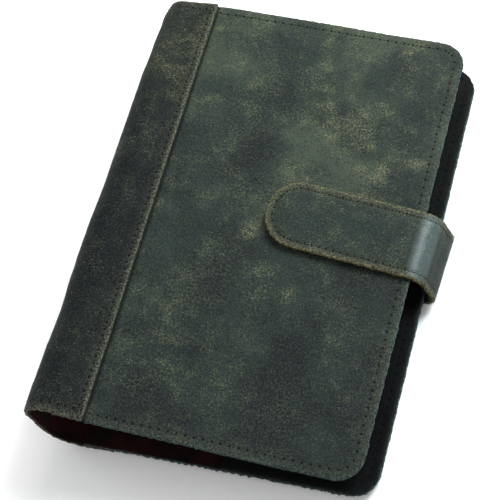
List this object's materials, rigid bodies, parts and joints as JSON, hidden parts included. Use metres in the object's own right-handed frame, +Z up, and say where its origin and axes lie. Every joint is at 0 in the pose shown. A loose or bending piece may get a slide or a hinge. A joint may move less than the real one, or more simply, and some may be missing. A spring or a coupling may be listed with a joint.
{
  "type": "notebook cover",
  "caption": "Pocket notebook cover of stitched leather: two hinged covers, a sewn-on spine strip, inner sleeves and a wrap-round closing strap with a magnetic tab.",
  "frame": {"origin": "centre of the closed cover's footprint, on the table it lies on", "axes": "+X across the cover from spine to fore-edge, +Y along the spine towards the head, +Z up through the closed cover from back to front"},
  "size_m": [0.1236, 0.164, 0.0356],
  "materials": {
    "panel_leather": "waxed pull-up leather, matt to satin, dark patches",
    "strip_leather": "waxed leather, satin",
    "strap_leather": "waxed leather, brighter where it bends",
    "lining_leather": "thin dark red lining leather",
    "sleeve_leather": "flesh side out, matt",
    "waxed_thread": "waxed twisted thread",
    "nickel_plate": "nickel plated, hidden"
  },
  "bodies": {
    "back": {"back_panel": "panel_leather", "back_lining": "lining_leather", "back_sleeve": "sleeve_leather", "back_spine_wing": "strip_leather", "back_edge_thread_head": "waxed_thread", "back_edge_thread_tail": "waxed_thread", "back_spine_seam_thread": "waxed_thread", "strap_sewn_end": "strap_leather", "strap_sewn_end_lining": "lining_leather", "strap_sewn_end_thread": "waxed_thread"},
    "spine": {"spine_strip": "strip_leather", "spine_liner": "lining_leather", "spine_head_thread": "waxed_thread", "spine_tail_thread": "waxed_thread"},
    "front": {"front_panel": "panel_leather", "front_lining": "lining_leather", "front_sleeve": "sleeve_leather", "front_spine_wing": "strip_leather", "front_edge_thread": "waxed_thread", "front_spine_seam_thread": "waxed_thread", "front_striker_plate": "nickel_plate"},
    "strap_side": {"strap_side": "strap_leather", "strap_side_lining": "lining_leather", "strap_side_thread_head": "waxed_thread", "strap_side_thread_tail": "waxed_thread"},
    "strap_tab": {"strap_tab": "strap_leather", "strap_tab_lining": "lining_leather", "strap_tab_thread": "waxed_thread", "tab_magnet": "nickel_plate"}
  },
  "joints": [
    {"name": "back_fold", "type": "hinge", "parent": "back", "child": "spine", "pos_m": [-0.05783, 0, 0.00442], "axis": [0, -1, 0], "range_deg": [0, 90]},
    {"name": "front_fold", "type": "hinge", "parent": "spine", "child": "front", "pos_m": [-0.05783, 0, 0.03298], "axis": [0, -1, 0], "range_deg": [0, 90]},
    {"name": "strap_lower_fold", "type": "hinge", "parent": "back", "child": "strap_side", "pos_m": [0.05884, 0.0014, 0.00161], "axis": [0.061, 0.9981, 0], "range_deg": [0, 90]},
    {"name": "strap_upper_fold", "type": "hinge", "parent": "strap_side", "child": "strap_tab", "pos_m": [0.05838, 0.00143, 0.01925], "axis": [0.061, 0.9981, 0], "range_deg": [0, 90], "deforming": ["strap_tab", "strap_tab_lining", "strap_tab_thread", "tab_magnet"]}
  ],
  "couplings": [
    {"joint": "front_fold", "follows": "back_fold", "ratio": 1}
  ]
}
